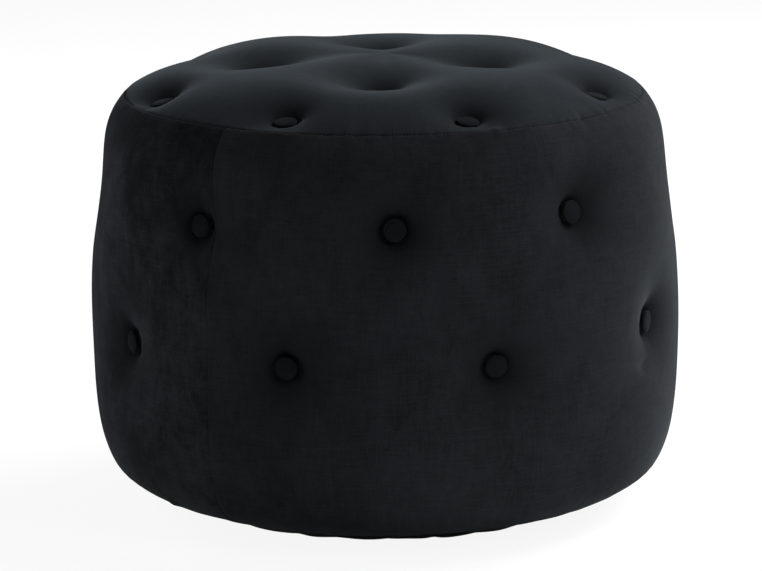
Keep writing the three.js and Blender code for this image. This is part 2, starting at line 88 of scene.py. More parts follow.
class Finish:
    """One material and the nodes that make it."""

    def __init__(self, name):
        self.material = bpy.data.materials.new(name)
        self.material.use_nodes = True
        self.tree = self.material.node_tree
        self.tree.nodes.clear()

    def node(self, kind, output, settings=None, sockets=None):
        """Adds a node: its settings first, then the values or wires of its sockets."""
        made = self.tree.nodes.new("ShaderNode" + kind)
        for name, value in (settings or {}).items():
            setattr(made, name, value)
        for name, value in (sockets or {}).items():
            if isinstance(value, Wire):
                self.tree.links.new(value.socket, made.inputs[name])
            else:
                made.inputs[name].default_value = value
        return None if output is None else Wire(self, made.outputs[output])

    def maths(self, operation, *values):
        return self.node("Math", 0, {"operation": operation}, dict(enumerate(values)))

    def place(self, *size):
        """Object coordinates, stretched by a size along each axis."""
        here = self.node("TexCoord", "Object")
        return self.node("Mapping", 0, {}, {"Vector": here, "Scale": size})

    def noise(self, place, detail=2.0, roughness=0.5, distortion=0.0):
        sockets = {"Vector": place, "Scale": 1.0, "Detail": detail, "Roughness": roughness}
        return self.node("TexNoise", "Fac", {}, sockets | {"Distortion": distortion})

    def mix(self, share, low, high):
        """A colour between two, by a share."""
        return self.node("Mix", 2, {"data_type": "RGBA"}, {0: share, 6: low, 7: high})

    def bump(self, height, distance):
        return self.node("Bump", "Normal", {}, {"Height": height, "Distance": distance})

    def surface(self, **sockets):
        named = {name.replace("_", " ").title().replace("Ior", "IOR"): value for name, value in sockets.items()}
        shader = self.node("BsdfPrincipled", "BSDF", {}, named)
        self.node("OutputMaterial", None, {}, {"Surface": shader})
        return self.material


def turned(profile, steps, place=Matrix()):
    """A closed turned shape whose profile of (radius, height) runs from the axis round to the axis."""
    shape = bmesh.new()
    points = [shape.verts.new((radius, 0, height)) for radius, height in profile]
    edges = [shape.edges.new(pair) for pair in zip(points, points[1:])]
    about = dict(cent=(0, 0, 0), axis=(0, 0, 1), angle=math.tau, steps=steps, use_merge=True)
    bmesh.ops.spin(shape, geom=points + edges, **about)
    bmesh.ops.remove_doubles(shape, verts=shape.verts, dist=1e-6)
    bmesh.ops.recalc_face_normals(shape, faces=shape.faces)
    bmesh.ops.transform(shape, matrix=place, verts=shape.verts)
    return shape


def arc(centre, radius, start, end, steps):
    """Points of (radius, height) on an arc, with its angles in degrees from straight outwards."""
    angles = np.radians(np.linspace(start, end, steps + 1))
    return [(centre[0] + radius * math.cos(a), centre[1] + radius * math.sin(a)) for a in angles]


def as_piece(name, shape, materials, slot, *replaced, sharp=35):
    """Makes a shape an object that rides on the part and stands for CAD nodes."""
    mesh = bpy.data.meshes.new(name)
    shape.to_mesh(mesh)
    shape.free()
    mesh.shade_smooth()
    mesh.set_sharp_from_angle(angle=math.radians(sharp))
    for material in materials:
        mesh.materials.append(material)
    piece = bpy.data.objects.new(name, mesh)
    bpy.context.scene.collection.objects.link(piece)
    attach(piece, "root")
    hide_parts(*replaced)
    return piece


nylon = Finish("nylon")
scuffs = nylon.noise(nylon.place(400, 400, 400), detail=4)
glide_nylon = nylon.surface(
    base_color=nylon.mix(scuffs, (0.012, 0.012, 0.012, 1), (0.03, 0.03, 0.03, 1)),
    roughness=0.35 + 0.25 * scuffs,
    normal=nylon.bump(scuffs, 0.0001),
)

for number in range(1, 5):
    low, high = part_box(f"glide_{number}")
    foot = turned(
        [
            (0, 0),
            *arc((glide_radius - glide_edge, glide_edge), glide_edge, -90, 0, 4),
            (glide_radius, glide_height),
            (glide_nail_radius, glide_height),
            (glide_nail_radius, high.z - 2 * glide_nail_radius),
            (0, high.z),
        ],
        glide_steps,
        Matrix.Translation(((low.x + high.x) / 2, (low.y + high.y) / 2, 0)),
    )
    as_piece(f"glide_foot_{number}", foot, [glide_nylon], "plastic", f"glide_{number}")

# Dust cover: thin black non-woven cloth, stapled under the base board over the turned-in velvet.
# Between its staples the edge hangs down a little, and at the left of the front one tuck of it sticks out.
dust_radius = 0.206
dust_thickness = 0.0007
dust_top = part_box("dust_cover")[1].z
dust_rings = 48
dust_columns = 360
staple_count = 26
edge_width = 0.020
edge_hang = 0.0046
tuck_angle = -70
tuck_width = 0.010
tuck_out = 0.012

cambric = Finish("cambric")
fibres = cambric.noise(cambric.place(900, 900, 900), detail=5, roughness=0.7)
clumps = cambric.noise(cambric.place(90, 90, 90), detail=3)
dust_cloth = cambric.surface(
    base_color=cambric.mix(fibres * clumps, (0.010, 0.009, 0.008, 1), (0.045, 0.041, 0.036, 1)),
    roughness=0.8 + 0.15 * fibres,
    normal=cambric.bump(fibres + 0.5 * clumps, 0.0003),
)


def from_front(vectors):
    """Angles round the axis, from the front towards +X."""
    vectors = np.asarray(vectors)
    return np.arctan2(vectors[..., 0], -vectors[..., 1])


def turn_between(angles, middle):
    """How far angles lie from a middle one, the short way round."""
    return (np.asarray(angles) - middle + math.pi) % math.tau - math.pi


dust_shape = turned([(dust_radius * step / dust_rings, 0) for step in range(dust_rings + 1)], dust_columns)
for point in dust_shape.verts:
    angle = float(from_front(point.co))
    out = point.co.xy.length / dust_radius
    edge = max(0.0, 1 - (1 - out) * dust_radius / edge_width)
    waver = noise.noise(Vector((3 * point.co.x, 3 * point.co.y, 0.2)) * 9)
    scallop = abs(math.sin(angle * staple_count / 2 + 1.5 * waver))
    tuck = math.exp(-((turn_between(angle, math.radians(tuck_angle)) * dust_radius / tuck_width) ** 2))
    droop = edge ** 1.5 * (0.60 + 0.40 * scallop) * (0.80 + 0.20 * waver)
    point.co.xy *= 1 + edge ** 4 * tuck * tuck_out / dust_radius
    point.co.z = dust_top - dust_thickness - edge_hang * min(1.0, droop + 0.6 * edge * tuck)
dust_piece = as_piece("dust_cloth_cover", dust_shape, [dust_cloth], "dust_cloth", "dust_cover")
wall = dust_piece.modifiers.new("thickness", "SOLIDIFY")
wall.thickness = dust_thickness
wall.offset = 1

# Base board: a round of raw birch plywood that everything stands on, with screws up into the posts.
# The deck board above the posts is cut from the same sheet.
ply_thickness = 0.0012


def dress(material, *names):
    """Gives CAD nodes their real finish."""
    for name in names:
        nodes[name].data.materials.clear()
        nodes[name].data.materials.append(material)


birch = Finish("birch_plywood")
figure = birch.noise(birch.place(6, 60, 30), detail=5, roughness=0.6, distortion=1.2)
pores = birch.noise(birch.place(60, 900, 500), detail=3)
height = birch.node("SeparateXYZ", "Z", {}, {"Vector": birch.node("TexCoord", "Object")})
veneer = birch.maths("PINGPONG", height, ply_thickness) * (0.3 / ply_thickness)
plywood = birch.surface(
    base_color=birch.mix(0.7 * figure + veneer, (0.60, 0.42, 0.24, 1), (0.36, 0.22, 0.11, 1)),
    roughness=0.6 + 0.2 * pores,
    normal=birch.bump(pores + figure, 0.0002),
)
dress(plywood, "base_board", "deck_board")

# Posts: four lengths of sawn softwood between the boards.
# They stand against the inside of the wall wrap, which is nailed to them.
pine = Finish("sawn_pine")
rings = pine.node(
    "TexWave",
    "Fac",
    {"bands_direction": "X"},
    {"Vector": pine.place(1, 1, 0.08), "Scale": 55.0, "Distortion": 6.0, "Detail": 3.0, "Detail Scale": 1.5},
)
saw_marks = pine.noise(pine.place(80, 80, 700), detail=2)
softwood = pine.surface(
    base_color=pine.mix(0.75 * rings + 0.2 * saw_marks, (0.72, 0.50, 0.27, 1), (0.47, 0.27, 0.11, 1)),
    roughness=0.65 + 0.2 * saw_marks,
    normal=pine.bump(saw_marks, 0.0004),
)
dress(softwood, *[f"post_{number}" for number in range(1, 5)])

# Screws: zinc plated countersunk wood screws, one down through the deck and one up through the base in each post.
# Their heads lie flush with the boards.
zinc = Finish("zinc_plate")
bloom = zinc.noise(zinc.place(700, 700, 700), detail=3)
screw_zinc = zinc.surface(
    base_color=zinc.mix(bloom, (0.62, 0.60, 0.52, 1), (0.78, 0.75, 0.64, 1)),
    metallic=1.0,
    roughness=0.28 + 0.2 * bloom,
)
dress(screw_zinc, *[f"{board}_screw_{number}" for board in ("deck", "base") for number in range(1, 5)])

# Wall wrap: thin brown hardboard bent round the posts into a tube.
# It is the wall that the side foam is glued to and the side buttons are tied through.
fibreboard = Finish("hardboard")
pressed = fibreboard.noise(fibreboard.place(350, 350, 350), detail=6, roughness=0.7)
hardboard = fibreboard.surface(
    base_color=fibreboard.mix(pressed, (0.09, 0.045, 0.02, 1), (0.19, 0.11, 0.06, 1)),
    roughness=0.55 + 0.3 * pressed,
    normal=fibreboard.bump(pressed, 0.0002),
)
dress(hardboard, "wall_wrap")

# Side foam: a thick ring of upholstery foam glued round the wall wrap, drawn in by the side buttons.
# The skin's whole form is worked out here: its outline, its buttons and what the stuffing does between them.
velvet_thickness = 0.0015
fit = 0.0003
foam_inset = velvet_thickness + fit
belly_radius = 0.312
belly_height = 0.225
seam_height = 0.420
seam_radius = belly_radius - 0.048
crown_rise = 0.037
crown_power = 5.2
hem_width = 0.022
hem_radius = belly_radius - 0.100 + fit
hem_height = glide_height + fit + dust_thickness + fit
lower_outline_shares = [
    (0, 0),
    (0.022, 0.31),
    (0.063, 0.54),
    (0.118, 0.715),
    (0.25, 0.845),
    (0.45, 0.93),
    (0.72, 0.977),
]
upper_outline_shares = [(0.62, 0.973), (0.39, 0.837), (0.18, 0.635), (0.085, 0.39), (0, 0)]
crown_points = 120
outline_steps = 24


def between(low, high, share):
    return low + (high - low) * share


def flowing(points, steps):
    """A smooth curve through points, from the first to the last, eased by the gaps between them."""
    points = np.array(points, float)
    first, last = 2 * points[0] - points[1], 2 * points[-1] - points[-2]
    points = np.vstack([first, points, last])
    gaps = np.sqrt(np.linalg.norm(np.diff(points, axis=0), axis=1))[:, None]
    steep = np.diff(points, axis=0) / gaps
    span = (points[2:] - points[:-2]) / (gaps[1:] + gaps[:-1])
    way = steep[:-1] - span + steep[1:]
    share = np.linspace(0, 1, steps, endpoint=False)[:, None]
    curve = []
    for index in range(len(points) - 3):
        a, b = points[index + 1], points[index + 2]
        leave, arrive = way[index] * gaps[index + 1], way[index + 1] * gaps[index + 1]
        curve.append(
            a
            + leave * share
            + (3 * (b - a) - 2 * leave - arrive) * share ** 2
            + (2 * (a - b) + leave + arrive) * share ** 3
        )
    return np.vstack([*curve, points[-2]])


side_points = [
    (between(hem_radius, belly_radius, width), between(hem_height, belly_height, rise))
    for rise, width in lower_outline_shares
]
side_points.append((belly_radius, belly_height))
side_points += [
    (between(seam_radius, belly_radius, width), between(seam_height, belly_height, fall))
    for fall, width in upper_outline_shares
]
hem_line = np.linspace((hem_radius - hem_width, hem_height), side_points[0], outline_steps, endpoint=False)
side_line = np.vstack([hem_line, flowing(side_points, outline_steps)])
crown_radii = seam_radius * np.sin(np.linspace(math.pi / 2, 0, crown_points))[1:]
crown_line = np.column_stack(
    [crown_radii, seam_height + crown_rise * (1 - (crown_radii / seam_radius) ** crown_power)]
)
outline = np.vstack([side_line, crown_line])
outline_along = np.concatenate([[0], np.cumsum(np.linalg.norm(np.diff(outline, axis=0), axis=1))])
outline_way = np.gradient(outline, outline_along, axis=0)
outline_way /= np.linalg.norm(outline_way, axis=1)[:, None]
hem_along = outline_along[len(hem_line)]
seam_along = outline_along[len(side_line) - 1]
full_along = outline_along[-1]


def skin_at(along):
    """Radius, height and outward facing of the full skin, by the way along its outline from the hem's edge."""
    columns = (outline[:, 0], outline[:, 1], outline_way[:, 1], -outline_way[:, 0])
    return [np.interp(along, outline_along, column) for column in columns]


def along_side(height):
    """The way along the outline at which the side reaches a height."""
    rising = slice(len(hem_line), len(side_line))
    return float(np.interp(height, outline[rising, 1], outline_along[rising]))


def along_top(radius):
    """The way along the outline at which the crown is a distance from the axis."""
    crown = slice(len(side_line) - 1, None)
    return float(np.interp(-radius, -outline[crown, 0], outline_along[crown]))


def around(radius, angle, height):
    """A point or vector by its distance from the axis, its angle from the front, and its height."""
    parts = np.broadcast_arrays(radius * np.sin(angle), -radius * np.cos(angle), height)
    return np.stack(parts, axis=-1)


button_radius = 0.0113
button_pit = 0.006
pit_share = 0.5
row_count = 8
inner_count = 4
sector = math.tau / (2 * row_count)
upper_row = seam_height - 0.0894
lower_row = 0.187
inner_ring = 0.125
outer_ring = seam_radius - 0.029
side_pull, side_tuck, side_reach, side_curve = 0.030, 0.0, 0.036, 0.68
inner_pull, inner_tuck, inner_reach, inner_curve = 0.015, 0.012, 0.044, 1.58
outer_pull, outer_tuck, outer_reach, outer_curve = 0.0076, 0.009, 0.0315, 1.52
tuck_reach = 0.008
bed_reach = 0.010
top_hold = 0.006
side_hold = 0.020
upper_drift_shares = {1: (0.081, 0.022), 2: (-0.206, 0.047), 8: (0.248, -0.028)}
lower_drift_shares = {1: (-0.027, 0.022), 2: (-0.058, 0.09), 7: (0.218, -0.007), 8: (0.118, 0.026)}
inner_drift_shares = {1: (-0.093, -0.045), 2: (-0.444, -0.195), 3: (0.116, -0.118), 4: (0.102, 0)}
outer_drift_shares = {1: (-0.105, 0.043), 2: (-0.024, -0.002), 7: (-0.054, 0.07), 8: (-0.07, 0.042)}
Button = namedtuple("Button", "name place facing lean twine pull tuck reach curve")


def tufts(row, count, first, along_of, level, gap, drift_shares, *draw):
    """A row or ring of buttons. Each has its place on the full skin, the skin's facing there, the way its cap
    leans, the way its twine runs, and how it draws the skin in."""
    made = []
    for index in range(count):
        turn, shift = drift_shares.get(index + 1, (0, 0))
        angle = first + index * math.tau / count + turn * sector
        radius, height, out, up = skin_at(along_of(level + shift * gap))
        facing = around(out, angle, up)
        on_top = row.startswith("top")
        twine = around(0, 0, 1) if on_top else around(1, angle, 0)
        lean = facing + twine if on_top else facing
        lean /= np.linalg.norm(lean)
        made.append(Button(f"{row}_{index + 1}", around(radius, angle, height), facing, lean, twine, *draw))
    return made


row_gap = upper_row - lower_row
ring_gap = outer_ring - inner_ring
side_draw = (side_pull, side_tuck, side_reach, side_curve)
side_buttons = [
    *tufts("side_upper", row_count, 0, along_side, upper_row, row_gap, upper_drift_shares, *side_draw),
    *tufts("side_lower", row_count, sector, along_side, lower_row, row_gap, lower_drift_shares, *side_draw),
]
inner_draw = (inner_pull, inner_tuck, inner_reach, inner_curve)
outer_draw = (outer_pull, outer_tuck, outer_reach, outer_curve)
top_buttons = [
    *tufts("top_inner", inner_count, 0, along_top, inner_ring, ring_gap, inner_drift_shares, *inner_draw),
    *tufts("top_outer", row_count, sector, along_top, outer_ring, ring_gap, outer_drift_shares, *outer_draw),
]


def drawn_in(places, buttons):
    """How far the buttons draw the skin in: fully under a cap, where it lies flat against the cap's back with
    a pit in the middle, steeply by the cap's edge and then in a wide bowl that fades away."""
    depth = np.zeros(len(places))
    for button in buttons:
        apart = places - button.place
        away = np.linalg.norm(apart, axis=1)
        beyond = np.maximum(away - button_radius, 0)
        depth += button.pull * np.exp(-((beyond / button.reach) ** button.curve))
        depth += button.tuck * np.exp(-beyond / tuck_reach)
        depth += button_pit * np.maximum(1 - away / (pit_share * button_radius), 0)
        bed = apart @ button.lean / (button.facing @ button.lean)
        depth += bed * np.exp(-((beyond / bed_reach) ** 2))
    return depth


def pulled_skin(along, angle):
    """Places on the full skin, their facings, and how far the buttons draw each one in."""
    radius, height, out, up = skin_at(along)
    places = around(radius, angle, height)
    on_top = drawn_in(places, top_buttons) * (1 - np.exp(-np.maximum(along - seam_along, 0) / top_hold))
    hem_ease = np.clip((along - hem_along) / hem_width, 0, 1)
    seam_ease = 1 - np.exp(-np.maximum(seam_height - height, 0) / side_hold)
    on_side = drawn_in(places, side_buttons) * hem_ease * seam_ease
    return places, around(out, angle, up), np.where(along > seam_along, on_top, on_side)


drum_spacing = 0.0075
drum_columns = 240
drum_shrink = 0.0025
swell_most = 0.005
swell_share = 0.6
drum_frames = 20


def pressed_out():
    """Cloth simulation of the whole skin: how far the stuffing presses it out between what holds it."""
    count = round((full_along - hem_along) / drum_spacing)
    rows = np.linspace(hem_along, full_along, count)
    drum = bmesh.new()
    row_layer = drum.verts.layers.int.new("row")
    points = []
    for row, (radius, height) in enumerate(zip(*skin_at(rows)[:2])):
        point = drum.verts.new((radius, 0, height))
        point[row_layer] = row
        points.append(point)
    points.insert(0, drum.verts.new((0, 0, hem_height)))
    points[0][row_layer] = -1
    edges = [drum.edges.new(pair) for pair in zip(points, points[1:])]
    about = dict(cent=(0, 0, 0), axis=(0, 0, 1), angle=math.tau, steps=drum_columns, use_merge=True)
    bmesh.ops.spin(drum, geom=points + edges, **about)
    bmesh.ops.remove_doubles(drum, verts=drum.verts, dist=1e-6)
    bmesh.ops.recalc_face_normals(drum, faces=drum.faces)
    row_of = np.array([point[row_layer] for point in drum.verts])
    angle = from_front([point.co for point in drum.verts])
    skin = row_of >= 0
    start = np.array([point.co for point in drum.verts])
    places, facing, depth = pulled_skin(rows[row_of[skin]], angle[skin])
    start[skin] = places - facing * (depth + drum_shrink)[:, None]
    for point, place in zip(drum.verts, start):
        point.co = place
    mesh = bpy.data.meshes.new("drum")
    drum.to_mesh(mesh)
    drum.free()
    body = bpy.data.objects.new("drum", mesh)
    bpy.context.scene.collection.objects.link(body)

    held = body.vertex_groups.new(name="held")
    near = np.min([np.linalg.norm(places - b.place, axis=1) for b in side_buttons + top_buttons], axis=0)
    sewn = np.abs(rows[row_of[skin]] - seam_along) < drum_spacing * 0.6
    pinned = np.ones(len(start), bool)
    pinned[skin] = (near < button_radius + drum_spacing * 0.5) | sewn | (row_of[skin] <= 1)
    held.add(np.flatnonzero(pinned).tolist(), 1.0, "REPLACE")

    cloth = body.modifiers.new("pressure", "CLOTH")
    cloth.settings.vertex_group_mass = "held"
    cloth.settings.quality = 6
    cloth.settings.mass = 0.2
    cloth.settings.tension_stiffness = 5
    cloth.settings.compression_stiffness = 6
    cloth.settings.shear_stiffness = 4
    cloth.settings.bending_stiffness = 0.2
    cloth.settings.use_pressure = True
    cloth.settings.uniform_pressure_force = 60
    cloth.settings.effector_weights.gravity = 0
    cloth.collision_settings.use_collision = False
    cloth.point_cache.frame_end = drum_frames
    for step in range(1, drum_frames + 1):
        bpy.context.scene.frame_set(step)
    ready = body.evaluated_get(bpy.context.evaluated_depsgraph_get()).to_mesh()
    end = np.zeros(3 * len(ready.vertices))
    ready.vertices.foreach_get("co", end)
    end = end.reshape(-1, 3)
    bpy.data.objects.remove(body)
    bpy.data.meshes.remove(mesh)
    bpy.context.scene.frame_set(1)

    moved = ((end[skin] - start[skin]) * facing).sum(axis=1) - drum_shrink
    swell = np.zeros((count, drum_columns))
    column = np.round(angle[skin] / math.tau * drum_columns).astype(int) % drum_columns
    swell[row_of[skin], column] = moved
    swell[-1] = swell[-2].mean()
    return rows, swell


drum_rows, drum_swell = pressed_out()


def swell_at(along, angle):
    """The simulated swell at any place of the skin, read between the drum's rows and columns."""
    row = np.clip((along - drum_rows[0]) / (drum_rows[1] - drum_rows[0]), 0, len(drum_rows) - 1.001)
    column = (angle / math.tau * drum_columns) % drum_columns
    r, c = np.floor(row).astype(int), np.floor(column).astype(int) % drum_columns
    rs, cs = row - r, column - np.floor(column)
    low = between(drum_swell[r, c], drum_swell[r, (c + 1) % drum_columns], cs)
    high = between(drum_swell[r + 1, c], drum_swell[r + 1, (c + 1) % drum_columns], cs)
    return between(low, high, rs)


def tufted(along, angle, inset):
    """Places on the upholstered skin, set in by the thickness of what lies over them."""
    places, facing, depth = pulled_skin(along, angle)
    swell = np.clip(swell_share * swell_at(along, angle), -swell_most, swell_most)
    under = np.maximum(inset - velvet_thickness, 0) / fit
    depth = depth + inset + under * clearance(along, angle, places)
    return places + facing * (swell + relief(along, angle, places) - depth)[:, None]


def clearance(along, angle, places):
    """How much further the foam keeps in below the seams and the buttons, where the velvet is creased."""
    away = np.min([np.linalg.norm(places - b.place, axis=1) for b in side_buttons + top_buttons], axis=0)
    joint = np.abs(turn_between(2 * (angle - side_seam), 0)) / 2 * belly_radius
    near = np.minimum(np.abs(along - seam_along), joint)
    return foam_relief * (np.exp(-((near / foam_ease) ** 2)) + np.exp(-((away / (2 * foam_ease)) ** 2)))


foam_relief, foam_ease = 0.003, 0.009
side_seam = math.radians(-35.6)
seam_dip, seam_lip = 0.0022, 0.0018
joint_dip, joint_lip = 0.0007, 0.0014
pucker_depth, pucker_length, pucker_reach = 0.00060, 0.0072, 0.006
gather_depth, gather_length, gather_reach = 0.0012, 0.024, 0.030
pleat_depth, pleat_reach = 0.0006, 0.011
lump_depth, lump_length = 0.0012, 0.090
# Painted shade: how far past a button's edge the painted darkening of its dimple reaches.
dimple_shade_reach = 0.024
Crease = namedtuple("Crease", "degrees height reach width depth")
creases = [
    Crease(-19.2, 0.062, 0.014, 0.0050, 0.0030),
    Crease(-51.4, 0.027, 0.009, 0.0050, -0.0030),
    Crease(60.8, 0.160, 0.014, 0.0050, 0.0024),
]


def noise_at(points, size, seed):
    """Smooth noise at points, in lumps of a size."""
    shift = Vector((seed * 7.3, seed * 3.1, seed * 5.7))
    return np.array([noise.noise(Vector(point) / size + shift) for point in points.tolist()])


def relief(along, angle, places):
    """Seams, their puckers, the pleats round the buttons, the gathers at the hem and the foam's lumps."""
    off_seam = np.abs(along - seam_along)
    turn = np.abs(turn_between(2 * (angle - side_seam), 0)) / 2
    off_joint = turn * skin_at(along)[0]
    on_side = (along < seam_along) & (along > hem_along / 2)
    up = -seam_dip * np.exp(-off_seam / seam_lip)
    up -= np.where(on_side, joint_dip * np.exp(-off_joint / joint_lip), 0)
    ring = np.array([[math.cos(a), math.sin(a), 0] for a in angle]) * belly_radius
    slow, quick = noise_at(ring, 0.035, 1), noise_at(ring, pucker_length, 2)
    up += pucker_depth * quick * (1 + 2 * slow) * np.exp(-off_seam / pucker_reach) * 2
    climb = np.column_stack([ring[:, :2], along / 3])
    up += joint_dip * 0.8 * noise_at(climb, 0.012, 3) * np.exp(-off_joint / 0.007) * on_side
    near_hem = np.exp(-np.maximum(along - hem_along, 0) / gather_reach) * (along > hem_along / 2)
    up += gather_depth * noise_at(climb, gather_length, 4) * near_hem * 1.6
    for seed, button in enumerate(side_buttons + top_buttons):
        apart = places - button.place
        away = np.linalg.norm(apart, axis=1)
        close = np.flatnonzero(away < 0.07)
        across = np.cross(button.facing, button.twine if abs(button.facing[2]) < 0.9 else (0, 1, 0))
        across /= np.linalg.norm(across)
        rise = np.cross(button.facing, across)
        bearing = np.arctan2(apart[close] @ rise, apart[close] @ across)
        spokes = np.column_stack([np.cos(bearing), np.sin(bearing), np.full(len(close), seed * 1.7)])
        fade = np.exp(-np.maximum(away[close] - button_radius, 0) / pleat_reach)
        up[close] += pleat_depth * noise_at(spokes, 0.42, 5) * fade * 1.8
    for crease in creases:
        turn = turn_between(angle, math.radians(crease.degrees)) * belly_radius / crease.reach
        lift = (places[:, 2] - crease.height - 0.1 * crease.reach * turn ** 2) / crease.width
        up -= crease.depth * np.exp(-(turn ** 2) - lift ** 2) * on_side
    return up + lump_depth * noise_at(places, lump_length, 6)


def on_skin(along, inset):
    """A profile point that follows the skin: radius, height, the way along the outline, and the inset."""
    radius, height, out, up = skin_at(along)
    return radius - out * inset, height - up * inset, along, inset


def swept(profile, spans, start=0.0, rim=()):
    """Turns a profile about the axis in spans of (angle, steps) and lays its skin points on the tufted shape.
    A whole turn closes on itself. With a rim, the profile is one edge of a strip and the rim is the other."""
    shape = bmesh.new()
    layers = [shape.verts.layers.float.new(name) for name in ("out", "along", "inset")]
    rows = []
    for line in filter(None, (profile, rim)):
        rows.append([])
        for radius, height, along, inset in line:
            point = shape.verts.new(around(radius, start, height))
            for layer, value in zip(layers, (radius, along, inset)):
                point[layer] = value
            rows[-1].append(point)
    if rim:
        strips = zip(rows[0], rows[0][1:], rows[1][1:], rows[1])
        last = [*shape.verts, *[shape.faces.new(corners) for corners in strips]]
        last += shape.edges
    else:
        last = rows[0] + [shape.edges.new(pair) for pair in zip(rows[0], rows[0][1:])]
        if profile[0][0] > 0:
            last.append(shape.edges.new((rows[0][-1], rows[0][0])))
    for span, steps in spans:
        about = dict(cent=(0, 0, 0), axis=(0, 0, 1), angle=span, steps=steps, use_merge=span == math.tau)
        last = bmesh.ops.spin(shape, geom=last, **about)["geom_last"]
    bmesh.ops.remove_doubles(shape, verts=shape.verts, dist=1e-6)
    bmesh.ops.recalc_face_normals(shape, faces=shape.faces)
    hoops = [edge for edge in shape.edges if is_hoop(*edge.verts)]
    bmesh.ops.subdivide_edges(shape, edges=hoops, cuts=hoop_cuts, use_grid_fill=True)
    places = np.array([point.co for point in shape.verts])
    out, along, inset = [np.array([point[layer] for point in shape.verts]) for layer in layers]
    angle = from_front(places)
    places = around(out, angle, places[:, 2])
    skin = along >= 0
    places[skin] = tufted(along[skin], angle[skin], inset[skin])
    for point, place in zip(shape.verts, places.tolist()):
        point.co = place
    turn = ((angle - start + 0.01) % math.tau - 0.01) * belly_radius
    cloth = shape.loops.layers.uv.new("cloth")
    shape.verts.index_update()
    for face in shape.faces:
        for corner in face.loops:
            index = corner.vert.index
            corner[cloth].uv = (turn[index], along[index])
    # Painted shade: a share at each skin point that darkens the velvet towards the buttons, for the shade in the
    # dimples.
    dimple_shade = shape.verts.layers.float.new("dimple_shade")
    full = pulled_skin(np.maximum(along, 0), angle)[0]
    away = np.min([np.linalg.norm(full - b.place, axis=1) for b in side_buttons + top_buttons], axis=0)
    shade = np.where(skin, np.exp(-np.maximum(away - button_radius, 0) / dimple_shade_reach), 0)
    for point, value in zip(shape.verts, shade.tolist()):
        point[dimple_shade] = value
    return shape


def is_hoop(one, other):
    """Whether an edge lies on a level round the axis and is long enough to be divided."""
    level = abs(one.co.z - other.co.z) < 1e-5
    even = abs(one.co.xy.length - other.co.xy.length) < 1e-5
    return level and even and (one.co - other.co).length > 0.03 * one.co.xy.length


def graded(start, end, spacing, fine_start=0.0, fine_end=0.0):
    """Steps along a line, with finer ones at either end that is a seam."""
    eased = []
    if fine_start:
        eased += [start + fine_start * k for k in (0, 0.5, 1.2, 2.2, 3.6)]
        start = eased.pop()
    tail = []
    if fine_end:
        tail = [end - fine_end * k for k in (2.2, 1.2, 0.5, 0)]
        end -= fine_end * 3.6
    count = max(2, round((end - start) / spacing) + 1)
    return [*eased, *np.linspace(start, end, count).tolist(), *tail]


skin_spacing = 0.004
hoop_cuts = 7
skin_columns = 600 // (hoop_cuts + 1)
foam_columns = 360 // (hoop_cuts + 1)
foam_spacing = 0.0055
foam_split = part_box("deck_board")[1].z + fit
deck_low, deck_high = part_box("deck_board")
wrap_low, wrap_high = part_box("wall_wrap")
wrap_radius = wrap_high.x + 2 * fit
deck_radius = deck_high.x + 2 * fit
tie_room = 0.006

cells = Finish("foam")
bubbles = cells.node("TexVoronoi", "Distance", {}, {"Vector": cells.place(700, 700, 700), "Scale": 1.0})
yellowing = cells.noise(cells.place(12, 12, 12), detail=3)
foam = cells.surface(
    base_color=cells.mix(yellowing, (0.78, 0.72, 0.50, 1), (0.70, 0.60, 0.36, 1)),
    roughness=0.9 + 0.1 * bubbles,
    normal=cells.bump(bubbles, 0.0006),
)

whole_turn = [(math.tau, foam_columns)]
lowest_foam = along_side(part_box("side_foam")[0].z + 0.002)
split_along = along_side(foam_split)
ring_rows = graded(lowest_foam, split_along - fit, foam_spacing)
side_ring = swept(
    [
        *[on_skin(along, foam_inset) for along in ring_rows],
        (deck_radius, deck_high.z, -1, 0),
        (deck_radius, deck_low.z - tie_room, -1, 0),
        (wrap_radius, deck_low.z - tie_room, -1, 0),
        (wrap_radius, wrap_low.z, -1, 0),
    ],
    whole_turn,
)
side_foam = as_piece("side_foam_ring", side_ring, [foam], "foam", "side_foam")

# Top foam: one pad that fills the crown and the shoulder and lies on the deck board.
# The top buttons draw it down to the deck.
pad_rows = graded(split_along + fit, full_along, foam_spacing)
top_pad = swept(
    [
        (0, foam_split, -1, 0),
        (deck_radius, foam_split, -1, 0),
        *[on_skin(along, foam_inset) for along in pad_rows],
    ],
    whole_turn,
)
top_foam = as_piece("top_foam_pad", top_pad, [foam], "foam", "top_foam")


